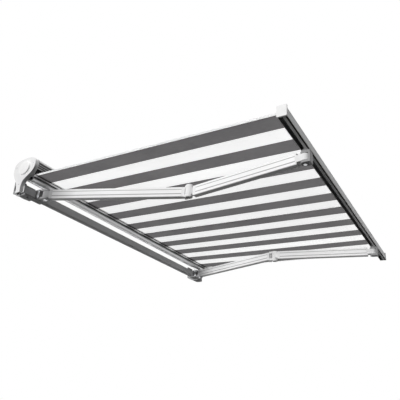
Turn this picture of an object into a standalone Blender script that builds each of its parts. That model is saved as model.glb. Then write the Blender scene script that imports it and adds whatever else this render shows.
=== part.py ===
"""Folding-arm canvas awning, 2.4 m wide and 2.0 m deep, drawn open.

Metres. X runs along the wall, -Y away from the wall, +Z up. The origin is
the middle of the left wall bracket's back face, on the wall.
"""
from math import asin, atan2, cos, hypot, pi, radians, sin, sqrt

import bmesh
import bpy
from mathutils import Vector

# Overall
gap = 0.0003                 # clearance between pieces that touch or fit
width = 2.400                # over the two end covers
left, right = -1, 1

# Torsion bar and what holds it to the wall
bar_depth = 0.040
bar_height = 0.056
bar_wall = 0.003
bar_corner = 0.005
bar_y = -0.100               # middle of the torsion bar, from the wall
bar_z = -0.052               # the same, from the middle of the wall plate
bracket_width = 0.088
bracket_plate = 0.008
bracket_height = 0.117
bracket_lip = 0.012
bracket_hook = 0.006         # the seat's reach past the bar's front, under and over it
bracket_rib = 0.002
wall_hole_radius = 0.0055
wall_hole_pitch = 0.050
wall_hole_rise = 0.038
clamp_bolt_radius = 0.004

# Side plates, covers, hood and tray round the roller
plate_thickness = 0.008
plate_inset = 0.0045         # side plate inside the cover's line
plug_depth = 0.014
cover_depth = 0.0245
cassette_height = 0.255
cover_wall = 0.0025
hood_wall = 0.0022
hood_rib = 0.0024
tray_wall = 0.0024
gland_radius = 0.0075
gland_length = 0.010
boss_radius = 0.050
boss_height = 0.012
boss_edge = 0.0025
hood_ribs = (0.06, 0.34, 0.62)   # shares of the hood's slanted front

# Roller with its drive
roller_y = -0.120
roller_rise = 0.1466         # roller axis over the torsion bar's middle
tube_radius = 0.039
tube_wall = 0.0015
roll_thickness = 0.0018      # cloth left on the tube when the awning is open
end_room = 0.0075            # between a tube end and its side plate
motor_radius = 0.0225
motor_length = 0.520
motor_head_radius = 0.030
motor_shaft_length = 0.030
drive_wheel_length = 0.022
drive_wheel_step = 0.005
crown_length = 0.018
crown_inset = 0.002
output_shaft_radius = 0.007
idler_shaft_radius = 0.006
idler_length = 0.060

# Cloth
cloth_margin = 0.042         # from an end of the awning to the cloth's edge
cloth_thickness = 0.0016
hem_rod_radius = 0.0034

# Arms: pivot to pivot lengths, and the yaw of each length when open
arm_pitch = radians(4.8)     # the arms' plane falls away from the wall
shoulder_inset = 0.1648      # fold axis, from the end of the awning
upper_length = 1.009
fore_length = 0.812
upper_yaw = radians(18.55)
fore_yaw = radians(8.51)
elbow_offset = 0.021         # elbow pivot, inside the profiles' middle line
arm_width = 0.040
arm_height = 0.068
arm_wall = 0.0025
arm_corner = 0.004
arm_grooves = ((0.0170, 0.0015), (-0.0136, 0.0028))   # height, half width
arm_groove_depth = 0.0012

# Shoulder: base on the torsion bar, tilting fork, tongue of the arm
tilt_y = -0.140              # tilt pin, from the wall
tilt_drop = 0.016            # tilt pin under the torsion bar's middle
tilt_pin_radius = 0.005
lock_rise = 0.038            # lock bolt over the tilt pin
lock_bolt_radius = 0.004
bolt_head_ratio = 1.8
bolt_head_rise = 1.1
tilt_travel = radians(10.0)
shoulder_reach = 0.039       # fold axis in front of the tilt pin
shoulder_rise = 0.0163       # middle of the arms over the tilt pin
fork_half_width = 0.032
cheek_thickness = 0.006
base_wall = 0.0055
base_round = 0.003
nose_reach = 0.012           # base's cheeks in front of the tilt pin
nose_drop = 0.008            # the same under it
nose_bevel = 0.006
fork_rear = 0.008
fork_play = 0.003            # tongue to the fork's face
ear_inset = 0.002
tongue_height = 0.044
ear_thickness = 0.013
shoulder_ear_radius = 0.030
shoulder_tongue_radius = 0.026
shoulder_pin_radius = 0.008

# Elbow and front pivot
elbow_radius = 0.025
elbow_pin_radius = 0.007
elbow_ear_thickness = 0.017
elbow_tongue_height = 0.045
block_reach = 0.030          # pivot to the full height of a casting
front_block_reach = 0.042    # the same at the front pivots, past the bracket's ears
lug_overlap = 0.001
plug_overlap = 0.004
profile_reach = 0.052        # pivot to the end of the profile
plug_length = 0.035
front_radius = 0.022
front_ear_radius = 0.025
front_pin_radius = 0.006
front_tongue_height = 0.040
front_web = 0.009
web_play = 0.002
foot_drop = 0.006
foot_length = 0.050
pin_head_height = 0.006
spring_radius = 0.012
spring_length = 0.460
spring_wire = 0.0035

# Front bar, from the front pivot: outwards, and up from the arms' middle
nose = 0.034
tail = -0.014
bar_under = 0.036
bar_top = 0.096
bar_skin = 0.0025
channel_front = 0.0105
channel_depth = 0.026
strip_thickness = 0.0008
shadow_groove_width = 0.0075
shadow_groove_depth = 0.010
brow_height = 0.017
brow_step = 0.004
bar_bevel = 0.002
cap_thickness = 0.010
cap_margin = 0.002
cap_play = 0.0012
cap_plug_length = 0.030
cap_rim_overlap = 0.006
keder_radius = 0.0042
keder_throat = 0.0030
keder_drop = 0.005

# Worked out
plate_inner = width / 2 - cover_depth - gap - plate_thickness
mid_x = plate_inner - gap - bracket_width / 2
roller_z = bar_z + roller_rise
roll_radius = tube_radius + gap + roll_thickness
tube_half = plate_inner - end_room
cloth_half = width / 2 - cloth_margin
bar_front = bar_y - bar_depth / 2
bar_back = bar_y + bar_depth / 2
bar_over = bar_z + bar_height / 2
bar_below = bar_z - bar_height / 2
tilt_z = bar_z - tilt_drop
shoulder_half = width / 2 - shoulder_inset
upper_run = sqrt(upper_length ** 2 - elbow_offset ** 2)
fore_run = sqrt(fore_length ** 2 - elbow_offset ** 2)
upper_profile_yaw = upper_yaw + asin(elbow_offset / upper_length)
fore_profile_yaw = fore_yaw + asin(elbow_offset / fore_length)
front_shift = upper_length * sin(upper_yaw) - fore_length * sin(fore_yaw)
front_half = shoulder_half - front_shift
arm_reach = upper_length * cos(upper_yaw) + fore_length * cos(fore_yaw)

for old in list(bpy.data.objects):
    bpy.data.objects.remove(old, do_unlink=True)

parts = bpy.data.collections.new("canvas_awning")
cutters = bpy.data.collections.new("cutters")
bpy.context.scene.collection.children.link(parts)
bpy.context.scene.collection.children.link(cutters)


def finish(name, colour, roughness, metallic):
    material = bpy.data.materials.new(name)
    material.use_nodes = True
    shader = material.node_tree.nodes["Principled BSDF"]
    shader.inputs["Base Color"].default_value = (*colour, 1.0)
    shader.inputs["Roughness"].default_value = roughness
    shader.inputs["Metallic"].default_value = metallic
    material.diffuse_color = (*colour, 1.0)
    return material


white_paint = finish("white_paint", (0.83, 0.83, 0.84), 0.40, 0.0)
cast_paint = finish("cast_paint", (0.78, 0.78, 0.79), 0.50, 0.0)
grey_cast = finish("grey_cast", (0.40, 0.40, 0.405), 0.46, 0.0)
plastic = finish("white_plastic", (0.86, 0.86, 0.86), 0.45, 0.0)
steel = finish("zinc_steel", (0.60, 0.61, 0.62), 0.35, 1.0)
dark_plastic = finish("dark_plastic", (0.05, 0.05, 0.05), 0.55, 0.0)
cloth_finish = finish("striped_canvas", (0.42, 0.42, 0.43), 0.90, 0.0)


# Outlines

def arc(x, y, radius, start, end, steps):
    turn = (end - start) / steps
    return [(x + radius * cos(start + turn * i), y + radius * sin(start + turn * i))
            for i in range(steps + 1)]


def circle(x, y, radius, steps=24):
    return arc(x, y, radius, 0.0, 2 * pi, steps)[:-1]


def box_outline(x0, y0, x1, y1):
    return [(x0, y0), (x1, y0), (x1, y1), (x0, y1)]


def rounded(corners, radius, steps=3):
    """The same outline with each corner turned into a small arc."""
    points = []
    count = len(corners)
    for i, corner in enumerate(corners):
        here = Vector(corner)
        before = (Vector(corners[i - 1]) - here).normalized()
        after = (Vector(corners[(i + 1) % count]) - here).normalized()
        half = before.angle(after) / 2
        bisector = (before + after).normalized()
        centre = here + bisector * (radius / sin(half))
        first = here + before * (radius / (sin(half) / cos(half)))
        last = here + after * (radius / (sin(half) / cos(half)))
        start = atan2(first.y - centre.y, first.x - centre.x)
        end = atan2(last.y - centre.y, last.x - centre.x)
        if end - start > pi:
            end -= 2 * pi
        if start - end > pi:
            end += 2 * pi
        points += arc(centre.x, centre.y, radius, start, end, steps)
    return points


def hull(points):
    """Convex outline round the points."""
    ordered = sorted(set(points))

    def chain(run):
        kept = []
        for p in run:
            while len(kept) > 1 and ((kept[-1][0] - kept[-2][0]) * (p[1] - kept[-2][1])
                                     - (kept[-1][1] - kept[-2][1]) * (p[0] - kept[-2][0])) <= 0:
                kept.pop()
            kept.append(p)
        return kept[:-1]

    return chain(ordered) + chain(ordered[::-1])


def smooth(knots, steps=5):
    """A flowing line through the knots."""
    points = []
    last = len(knots) - 1
    for i in range(last):
        p0 = Vector(knots[max(i - 1, 0)])
        p1 = Vector(knots[i])
        p2 = Vector(knots[i + 1])
        p3 = Vector(knots[min(i + 2, last)])
        for step in range(steps):
            t = step / steps
            point = 0.5 * (2 * p1 + (p2 - p0) * t + (2 * p0 - 5 * p1 + 4 * p2 - p3) * t ** 2
                           + (3 * p1 - p0 - 3 * p2 + p3) * t ** 3)
            points.append(tuple(point))
    points.append(tuple(knots[-1]))
    return points


def strip(path, thickness, side=0.5):
    """Outline of a sheet of one thickness that follows a path."""
    one, two = [], []
    last = len(path) - 1
    for i, point in enumerate(path):
        here = Vector(point)
        before = (here - Vector(path[max(i - 1, 0)])) if i else None
        after = (Vector(path[min(i + 1, last)]) - here) if i < last else None
        before = before.normalized() if before else after.normalized()
        after = after.normalized() if after else before
        along = (before + after).normalized()
        normal = Vector((-along.y, along.x))
        reach = 1 / max(along.dot(after), 0.5)
        one.append(tuple(here + normal * thickness * side * reach))
        two.append(tuple(here - normal * thickness * (1 - side) * reach))
    return one + two[::-1]


# Solids

def place(obj, material, parent, location, rotation, cutter):
    (cutters if cutter else parts).objects.link(obj)
    obj.parent = parent
    obj.location = location
    obj.rotation_euler = rotation
    if cutter:
        obj.hide_render = True
        obj.display_type = "WIRE"
    else:
        obj.data.materials.append(material)
    return obj


def extrude(name, loops, thickness, material=None, parent=None, location=(0, 0, 0),
            rotation=(0, 0, 0), cutter=False):
    """Flat outlines, holes included, given a thickness along the local Z."""
    curve = bpy.data.curves.new(name, "CURVE")
    curve.dimensions = "2D"
    curve.fill_mode = "BOTH"
    curve.extrude = thickness / 2
    for loop in loops:
        spline = curve.splines.new("POLY")
        spline.points.add(len(loop) - 1)
        for point, (x, y) in zip(spline.points, loop):
            point.co = (x, y, 0, 1)
        spline.use_cyclic_u = True
    drawn = bpy.data.objects.new(name + "_outline", curve)
    cutters.objects.link(drawn)
    graph = bpy.context.evaluated_depsgraph_get()
    mesh = bpy.data.meshes.new_from_object(drawn.evaluated_get(graph))
    bpy.data.objects.remove(drawn, do_unlink=True)
    bpy.data.curves.remove(curve)
    mesh.name = name
    shape = bmesh.new()
    shape.from_mesh(mesh)
    bmesh.ops.remove_doubles(shape, verts=shape.verts, dist=0.000001)
    bmesh.ops.recalc_face_normals(shape, faces=shape.faces)
    shape.to_mesh(mesh)
    shape.free()
    return place(bpy.data.objects.new(name, mesh), material, parent, location, rotation, cutter)


def turned(name, profile, material=None, parent=None, location=(0, 0, 0),
           rotation=(0, 0, 0), steps=16, cutter=False):
    """A profile of (radius, height) points, top to bottom, turned round the local Z."""
    mesh = bpy.data.meshes.new(name)
    count = len(profile)
    closed = profile[0][0] > 0
    edges = [(i, i + 1) for i in range(count - 1)]
    if closed:
        edges.append((count - 1, 0))
    mesh.from_pydata([(r, 0, h) for r, h in profile], edges, [])
    obj = bpy.data.objects.new(name, mesh)
    screw = obj.modifiers.new("turn", "SCREW")
    screw.steps = steps
    screw.render_steps = steps
    screw.use_merge_vertices = True
    screw.merge_threshold = 0.00001
    screw.use_smooth_shade = True
    return place(obj, material, parent, location, rotation, cutter)


def boolean(target, tool, operation):
    modifier = target.modifiers.new(operation.lower(), "BOOLEAN")
    modifier.operation = operation
    modifier.object = tool
    modifier.solver = "EXACT"


def drill(target, radius, length, parent=None, location=(0, 0, 0), rotation=(0, 0, 0)):
    half = length / 2
    tool = turned(target.name + "_drill", [(0, half), (radius, half), (radius, -half), (0, -half)],
                  parent=parent, location=location, rotation=rotation, cutter=True)
    boolean(target, tool, "DIFFERENCE")


def weld(target, loops, thickness, parent=None, location=(0, 0, 0), rotation=(0, 0, 0)):
    tool = extrude(target.name + "_joined", loops, thickness, parent=parent,
                   location=location, rotation=rotation, cutter=True)
    boolean(target, tool, "UNION")


def bolt(name, shank, length, head_radius, head_height, material, parent=None,
         location=(0, 0, 0), rotation=(0, 0, 0)):
    """Head on top, its seat at the local origin and the shank below it."""
    bevel = head_height * 0.2
    return turned(name, [(0, head_height), (head_radius - bevel, head_height),
                         (head_radius, head_height - bevel), (head_radius, 0), (shank, 0),
                         (shank, -length), (0, -length)],
                  material, parent, location, rotation)


def axis(name, location, rotation, parent=None):
    empty = bpy.data.objects.new(name, None)
    parts.objects.link(empty)
    empty.empty_display_size = 0.05
    empty.parent = parent
    empty.location = location
    empty.rotation_euler = rotation
    return empty


along_x = (pi / 2, 0, pi / 2)     # outline (y, z), thickness along X
along_arm = (pi / 2, 0, 0)        # outline (x, z), thickness along Y
turn_x = (0, pi / 2, 0)           # turned pieces with their axis along X
turn_y = (pi / 2, 0, 0)


def side_name(side):
    return "left" if side == left else "right"


def at(side, half):
    return mid_x + side * half


# Wall side

def torsion_bar():
    outer = rounded(box_outline(bar_front, bar_below, bar_back, bar_over), bar_corner)
    inner = rounded(box_outline(bar_front + bar_wall, bar_below + bar_wall,
                                bar_back - bar_wall, bar_over - bar_wall), bar_corner - bar_wall / 2)
    extrude("torsion_bar", [outer, inner], 2 * (plate_inner + plate_thickness), white_paint,
            location=(mid_x, 0, 0), rotation=along_x)


def wall_bracket(side):
    """Pressed seat that holds the torsion bar from behind and below."""
    foot = -bracket_height / 2
    seat_back = bar_back + gap
    seat_low = bar_below - gap
    seat_top = bar_over + gap
    shelf = seat_low - bracket_lip
    under = bar_front - bracket_hook
    over = bar_front + bracket_hook
    outline = [(0, foot), (seat_back + bracket_lip, shelf), (under, shelf),
               (under, seat_low), (seat_back, seat_low), (seat_back, seat_top),
               (over, seat_top), (over, seat_top + bracket_lip * 0.7),
               (seat_back + bracket_lip, seat_top + bracket_lip * 0.7),
               (-bracket_plate, bracket_height * 0.18), (-bracket_plate, bracket_height / 2),
               (0, bracket_height / 2)]
    pocket = [(-bracket_plate, foot * 0.55), (seat_back + bracket_lip, seat_low + bracket_rib),
              (seat_back + bracket_lip, seat_top - 2 * bracket_rib),
              (-bracket_plate, bracket_rib)]
    centre = at(side, mid_x)
    body = extrude("wall_bracket_" + side_name(side), [outline, pocket], bracket_width,
                   white_paint, location=(centre, 0, 0), rotation=along_x)
    for across in (-wall_hole_pitch / 2, wall_hole_pitch / 2):
        drill(body, wall_hole_radius, 4 * bracket_plate,
              location=(centre + across, -bracket_plate / 2, wall_hole_rise), rotation=turn_y)
    reach = bracket_lip + gap
    low = (centre, bar_y, shelf)
    drill(body, clamp_bolt_radius + gap, 3 * bracket_lip, location=low)
    bolt("clamp_bolt_" + side_name(side), clamp_bolt_radius, reach, 2 * clamp_bolt_radius,
         1.4 * clamp_bolt_radius, steel, location=(centre, bar_y, shelf - gap),
         rotation=(pi, 0, 0))


# The cassette's lines, as (y, height over the bar's middle), drawn 255 units high

outline_unit = cassette_height / 255


def drawn(points):
    return [(y * outline_unit, z * outline_unit + bar_z) for y, z in points]


front_line = drawn([(-109, -31), (-107, -5), (-111, 26), (-122, 51.5), (-143.5, 70),
                    (-169, 85), (-194, 103), (-212, 127), (-219, 153), (-218.5, 180)])
top_line = drawn([(-218.5, 180), (-212, 196), (-190, 212), (-150, 222), (-100, 224),
                  (-50, 216), (-18, 198), (-10, 176)])
rear_line = drawn([(-10, 176), (-12, 135), (-30, 90), (-55, 50), (-66, 10), (-68, -31)])
hood_foot, hood_heel = drawn([(-203.5, 135), (-10, 132)])
tray_lip = drawn([(-190, 91), (-190, 79.5), (-184, 79.5), (-184, 70)])
tray_face = drawn([(-190, 68.5), (-188, 60), (-181, 53), (-170, 49.5), (-156, 50)])
tray_floor = drawn([(-120, 71.5), (-90, 90), (-64, 106), (-60, 116)])


def cassette_outline(inset):
    """The side view's closed outline, drawn in by an inset."""
    line = smooth(front_line, 4)[:-1] + smooth(top_line, 3)[:-1] + smooth(rear_line, 3)
    if inset == 0:
        return line
    count = len(line)
    inner = []
    for i, point in enumerate(line):
        before = Vector(line[i - 1])
        after = Vector(line[(i + 1) % count])
        along = (after - before).normalized()
        inner.append(tuple(Vector(point) + Vector((along.y, -along.x)) * inset))
    return inner


def side_plate(side):
    """Plate on the torsion bar that carries the roller, hood and tray."""
    bearing = circle(roller_y, roller_z, idler_shaft_radius * 2 + gap)
    x = at(side, plate_inner + plate_thickness / 2)
    rest = bar_over + gap
    stop = bar_back + gap
    outline = [p for p in cassette_outline(plate_inset) if p[1] > rest + gap or p[0] > stop]
    outline += [(stop, outline[-1][1]), (stop, rest), (outline[0][0], rest)]
    extrude("side_plate_" + side_name(side), [outline, bearing], plate_thickness, cast_paint,
            location=(x, 0, 0), rotation=along_x)


def bar_plug(side):
    """Plug that closes an end of the torsion bar."""
    room = bar_wall + gap
    outline = rounded(box_outline(bar_front + room, bar_below + room, bar_back - room,
                                  bar_over - room), bar_corner)
    x = at(side, plate_inner + plate_thickness - plug_depth / 2)
    extrude("bar_plug_" + side_name(side), [outline], plug_depth, plastic,
            location=(x, 0, 0), rotation=along_x)


def end_cover(side):
    """Deep rimmed cover over the side plate, with the round boss on it."""
    rim = cover_depth - cover_wall
    name = "end_cover_" + side_name(side)
    start = plate_inner + plate_thickness + gap
    body = extrude(name, [cassette_outline(0)], cover_depth, white_paint,
                   location=(at(side, start + cover_depth / 2), 0, 0), rotation=along_x)
    hollow = extrude(name + "_hollow", [cassette_outline(cover_wall)], rim,
                     location=(at(side, start + rim / 2 - 0.0005), 0, 0), rotation=along_x,
                     cutter=True)
    boolean(body, hollow, "DIFFERENCE")


def boss(side):
    """Round cap in the middle of an end cover, in front of the roller's end."""
    edge = boss_edge
    name = "cover_boss_" + side_name(side)
    turned(name, [(0, 0), (boss_radius - edge, 0), (boss_radius, -edge),
                  (boss_radius, -boss_height), (0, -boss_height)], plastic,
           location=(at(side, width / 2 + gap + boss_height), roller_y, roller_z),
           rotation=(0, side * pi / 2, 0), steps=48)


def cable_gland():
    """Gland under the left cover, where the motor's lead comes out."""
    foot = front_line[0][1] - gap
    radius = gland_radius
    turned("cable_gland", [(0, 0), (radius, 0), (radius, -gland_length * 0.35),
                           (radius * 0.8, -gland_length * 0.4), (radius * 0.65, -gland_length),
                           (0, -gland_length)], dark_plastic,
           location=(mid_x - width / 2 + cover_depth / 2, bar_back, foot))


def hood():
    """Roof profile over the roller; its ribbed front slants back to the cloth's slit."""
    line = smooth(top_line, 4) + [hood_heel]
    foot = Vector(hood_foot)
    head = Vector(line[0])
    body = extrude("hood", [strip([hood_foot] + line, hood_wall, 0.0)],
                   2 * (plate_inner - gap), white_paint, location=(mid_x, 0, 0),
                   rotation=along_x)
    for share in hood_ribs:
        y, z = foot.lerp(head, share)
        rib = box_outline(y - hood_rib, z, y + hood_wall / 2, z + hood_rib)
        weld(body, [rib], 2 * (plate_inner - gap), location=(mid_x, 0, 0), rotation=along_x)


def tray():
    """Rain tray: upright lip, shadow groove, rounded face, floor rising to the wall."""
    line = tray_lip + smooth(tray_face, 3) + tray_floor
    extrude("tray", [strip(line, tray_wall, 1.0)], 2 * (plate_inner - gap), white_paint,
            location=(mid_x, 0, 0), rotation=along_x)


# Roller

def ring(name, outer, inner, length, material, x):
    half = length / 2
    return turned(name, [(outer, half), (outer, -half), (inner, -half), (inner, half)],
                  material, location=(x, roller_y, roller_z), rotation=turn_x, steps=40)


def roller():
    inside = tube_radius - tube_wall
    ring("roller_tube", tube_radius, inside, 2 * tube_half, steel, mid_x)
    ring("cloth_roll", roll_radius, tube_radius + gap, 2 * cloth_half, cloth_finish, mid_x)
    plug = inside - gap
    head = plate_inner - gap
    seat = -tube_half + crown_inset
    ring("motor_crown", plug, motor_radius + gap, crown_length, dark_plastic,
         mid_x + seat + crown_length / 2)
    flange = end_room - 2 * gap
    stub = idler_shaft_radius * 1.6
    shaft_end = flange + motor_length + motor_shaft_length
    motor_end = flange + motor_length
    motor = [(0, plate_thickness), (stub, plate_thickness), (stub, 0), (motor_head_radius, 0),
             (motor_head_radius, -flange), (motor_radius, -flange), (motor_radius, -motor_end),
             (output_shaft_radius, -motor_end), (output_shaft_radius, -shaft_end),
             (0, -shaft_end)]
    turned("tubular_motor", motor, dark_plastic,
           location=(mid_x - head, roller_y, roller_z), rotation=(0, -pi / 2, 0), steps=32)
    wheel_x = (mid_x - head + flange + motor_length + drive_wheel_step
               + drive_wheel_length / 2)
    ring("drive_wheel", plug, output_shaft_radius + gap, drive_wheel_length, dark_plastic,
         wheel_x)
    shaft = idler_shaft_radius
    idler = [(0, end_room + plate_thickness), (shaft, end_room + plate_thickness), (shaft, 0),
             (plug, 0), (plug, -idler_length), (0, -idler_length)]
    turned("idler_plug", idler, dark_plastic,
           location=(mid_x + tube_half, roller_y, roller_z), rotation=turn_x, steps=32)
    collar = 2 * idler_shaft_radius
    lip = end_room * 0.5
    bush = [(collar, plate_thickness), (collar, 0), (collar * 1.3, 0), (collar * 1.3, -lip),
            (shaft + gap, -lip), (shaft + gap, plate_thickness)]
    turned("idler_bush", bush, plastic,
           location=(mid_x + plate_inner - gap, roller_y, roller_z), rotation=turn_x, steps=32)


# Shoulders

def cheek_outline():
    """Side of the shoulder base: round the torsion bar and forward to the tilt pin."""
    nose_y = tilt_y - nose_reach
    low = bar_below - gap - base_wall
    high = bar_over + gap + base_wall
    rear = bar_back + gap + base_wall
    return rounded([(rear, low), (rear, high), (nose_y + nose_bevel, high),
                    (nose_y, high - 2 * nose_bevel), (nose_y, tilt_z - nose_drop),
                    (nose_y + nose_bevel, low)], base_round, 2)


def shoulder_base(side):
    x = at(side, shoulder_half)
    seat = box_outline(bar_front - gap, bar_below - gap, bar_back + gap, bar_over + gap)
    name = "shoulder_base_" + side_name(side)
    width_all = 2 * (fork_half_width + gap + cheek_thickness)
    body = extrude(name, [cheek_outline(), seat], width_all, grey_cast,
                   location=(x, 0, 0), rotation=along_x)
    clear = fork_half_width
    room = box_outline(tilt_y - clear, bar_below - clear, bar_front - gap - base_wall,
                       bar_over + clear)
    tool = extrude(name + "_room", [room], 2 * (fork_half_width + gap), location=(x, 0, 0),
                   rotation=along_x, cutter=True)
    boolean(body, tool, "DIFFERENCE")
    drill(body, tilt_pin_radius + gap, 2 * width_all, location=(x, tilt_y, tilt_z),
          rotation=turn_x)
    slot_radius = lock_bolt_radius + gap
    rest = (tilt_y - lock_rise * sin(arm_pitch), tilt_z + lock_rise * cos(arm_pitch))
    steepest = arm_pitch + tilt_travel
    low = (tilt_y - lock_rise * sin(steepest), tilt_z + lock_rise * cos(steepest))
    slot = extrude(name + "_slot", [hull(circle(*rest, slot_radius) + circle(*low, slot_radius))],
                   2 * width_all, location=(x, 0, 0), rotation=along_x, cutter=True)
    boolean(body, slot, "DIFFERENCE")


def cross_bolt(name, shank, parent, location):
    """Bolt through both cheeks of a shoulder base, head and nut in one piece."""
    reach = fork_half_width + gap + cheek_thickness + gap
    head = bolt_head_ratio * shank
    thick = bolt_head_rise * shank
    turned(name, [(0, reach + thick), (head, reach + thick), (head, reach), (shank, reach),
                  (shank, -reach), (head, -reach), (head, -reach - thick),
                  (0, -reach - thick)], steel, parent, location, turn_x)


def shoulder_fork(side, tilt):
    """Tilting fork: a block between the cheeks and two ears round the arm's tongue."""
    name = "shoulder_fork_" + side_name(side)
    face = -shoulder_reach + shoulder_tongue_radius + fork_play
    low = shoulder_rise - tongue_height / 2 - gap - ear_thickness
    high = shoulder_rise + tongue_height / 2 + gap + ear_thickness
    block = rounded(box_outline(face, low, fork_rear, high), base_round, 2)
    body = extrude(name, [block],
                   2 * fork_half_width, grey_cast, tilt, rotation=along_x)
    pivot = (0, -shoulder_reach)
    ear = hull(circle(*pivot, shoulder_ear_radius)
               + box_outline(-fork_half_width + ear_inset, face - lug_overlap,
                             fork_half_width - ear_inset, face + ear_inset))
    for level in (low + ear_thickness / 2, high - ear_thickness / 2):
        weld(body, [ear], ear_thickness, tilt, (0, 0, level))
    drill(body, shoulder_pin_radius + gap, 3 * arm_height, tilt,
          (0, -shoulder_reach, shoulder_rise))
    drill(body, tilt_pin_radius + gap, 4 * fork_half_width, tilt, (0, 0, 0), turn_x)
    drill(body, lock_bolt_radius + gap, 4 * fork_half_width, tilt, (0, 0, lock_rise), turn_x)
    top = (0, -shoulder_reach, high + gap)
    bolt("shoulder_pin_" + side_name(side), shoulder_pin_radius, high - low + 2 * ear_inset,
         1.7 * shoulder_pin_radius, pin_head_height, steel, tilt, top)


# Arms

def arm_section():
    """Hollow arm profile with two shadow grooves in each side."""
    half = arm_width / 2
    top = arm_height / 2
    cut = arm_groove_depth
    flank = []
    for height, spread in arm_grooves:
        flank += [(half, height + spread), (half - cut, height + spread * 0.5),
                  (half - cut, height - spread * 0.5), (half, height - spread)]
    ends = arc(half - arm_corner, top - arm_corner, arm_corner, pi / 2, 0, 3)
    feet = arc(half - arm_corner, -top + arm_corner, arm_corner, 0, -pi / 2, 3)
    one_side = ends + flank + feet
    outline = one_side + [(-x, z) for x, z in reversed(one_side)]
    inner = rounded(box_outline(-half + arm_wall, -top + arm_wall, half - arm_wall,
                                top - arm_wall), arm_corner - arm_wall / 2)
    return [outline, inner]


def profile(name, parent, x, start, end):
    """Arm profile from start to end along the arm, measured from its pivot."""
    extrude(name, arm_section(), end - start, white_paint, parent,
            (x, -(start + end) / 2, 0), along_arm)


def casting(name, parent, pivot, line_x, outward, radius, levels, hole, reach=block_reach,
            material=cast_paint):
    """Cast arm end: plug in the profile, full-height block, and ears or tongue.

    pivot is the hole's place, line_x the profile's middle line, outward is -1
    when the profile lies on the far side of the pivot and 1 when it lies nearer.
    """
    px, py = pivot
    near = py + outward * reach
    seam = py + outward * (profile_reach - gap)
    deep = seam + outward * plug_length
    half = arm_width / 2
    low, high = sorted((near, seam))
    block = rounded(box_outline(line_x - half, -arm_height / 2, line_x + half, arm_height / 2),
                    arm_corner)
    body = extrude(name, [block], high - low, material, parent, (0, (low + high) / 2, 0),
                   along_arm)
    room = arm_wall + gap
    plug = rounded(box_outline(line_x - half + room, -arm_height / 2 + room,
                               line_x + half - room, arm_height / 2 - room), arm_corner)
    low, high = sorted((seam - outward * plug_overlap, deep))
    weld(body, [plug], high - low, parent, (0, (low + high) / 2, 0), along_arm)
    low, high = sorted((near - outward * lug_overlap, near + outward * lug_overlap))
    lug = hull(circle(px, py, radius)
               + box_outline(line_x - half + lug_overlap, low, line_x + half - lug_overlap,
                             high))
    for bottom, top in levels:
        weld(body, [lug], top - bottom, parent, (0, 0, (bottom + top) / 2))
    drill(body, hole, 2 * arm_height, parent, (px, py, 0))


def spring_profile():
    """Close-wound arm spring, seen as its row of turns."""
    turns = int(spring_length / (7 * spring_wire))
    pitch = spring_length / turns
    outer = []
    for i in range(turns):
        z = spring_length / 2 - i * pitch
        outer += [(spring_radius - spring_wire / 2, z), (spring_radius, z - pitch / 2)]
    outer.append((spring_radius - spring_wire / 2, -spring_length / 2))
    bore = spring_radius - 1.5 * spring_wire
    return outer + [(bore, -spring_length / 2), (bore, spring_length / 2)]


def arm(side):
    label = side_name(side)
    tilt = axis("tilt_axis_" + label, (at(side, shoulder_half), tilt_y, tilt_z), (arm_pitch, 0, 0))
    shoulder_fork(side, tilt)
    cross_bolt("tilt_pin_" + label, tilt_pin_radius, None,
               (at(side, shoulder_half), tilt_y, tilt_z))
    cross_bolt("lock_bolt_" + label, lock_bolt_radius, tilt, (0, 0, lock_rise))

    fold = axis("fold_axis_" + label, (0, -shoulder_reach, shoulder_rise),
                (0, 0, -side * upper_profile_yaw), tilt)
    profile("upper_arm_" + label, fold, 0, profile_reach, upper_run - profile_reach)
    half_tongue = tongue_height / 2
    casting("shoulder_knuckle_" + label, fold, (0, 0), 0, -1, shoulder_tongue_radius,
            [(-half_tongue, half_tongue)], shoulder_pin_radius + gap, material=grey_cast)
    half = elbow_tongue_height / 2 + gap
    casting("elbow_fork_" + label, fold, (side * elbow_offset, -upper_run), 0, 1, elbow_radius,
            [(half, half + elbow_ear_thickness), (-half - elbow_ear_thickness, -half)],
            elbow_pin_radius + gap)

    elbow = axis("elbow_axis_" + label, (side * elbow_offset, -upper_run, 0),
                 (0, 0, side * (upper_profile_yaw + fore_profile_yaw)), fold)
    line_x = -side * elbow_offset
    top = half + elbow_ear_thickness + gap
    pin = 2 * top - gap
    bolt("elbow_pin_" + label, elbow_pin_radius, pin, 2.4 * elbow_pin_radius,
         pin_head_height / 2, steel, elbow, (0, 0, top))
    half_tongue = elbow_tongue_height / 2
    casting("elbow_knuckle_" + label, elbow, (0, 0), line_x, -1, elbow_radius,
            [(-half_tongue, half_tongue)], elbow_pin_radius + gap)
    profile("forearm_" + label, elbow, line_x, profile_reach, fore_run - profile_reach)
    half_tongue = front_tongue_height / 2
    casting("front_knuckle_" + label, elbow, (line_x, -fore_run), line_x, 1, front_radius,
            [(-half_tongue, half_tongue)], front_pin_radius + gap, front_block_reach)
    turned("arm_spring_" + label, spring_profile(), steel, elbow,
           (line_x, -profile_reach - plug_length - gap - spring_length / 2, 0), turn_y, 12)
    return elbow, line_x


# Front bar, drawn as (outwards, up) and laid along X

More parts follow.
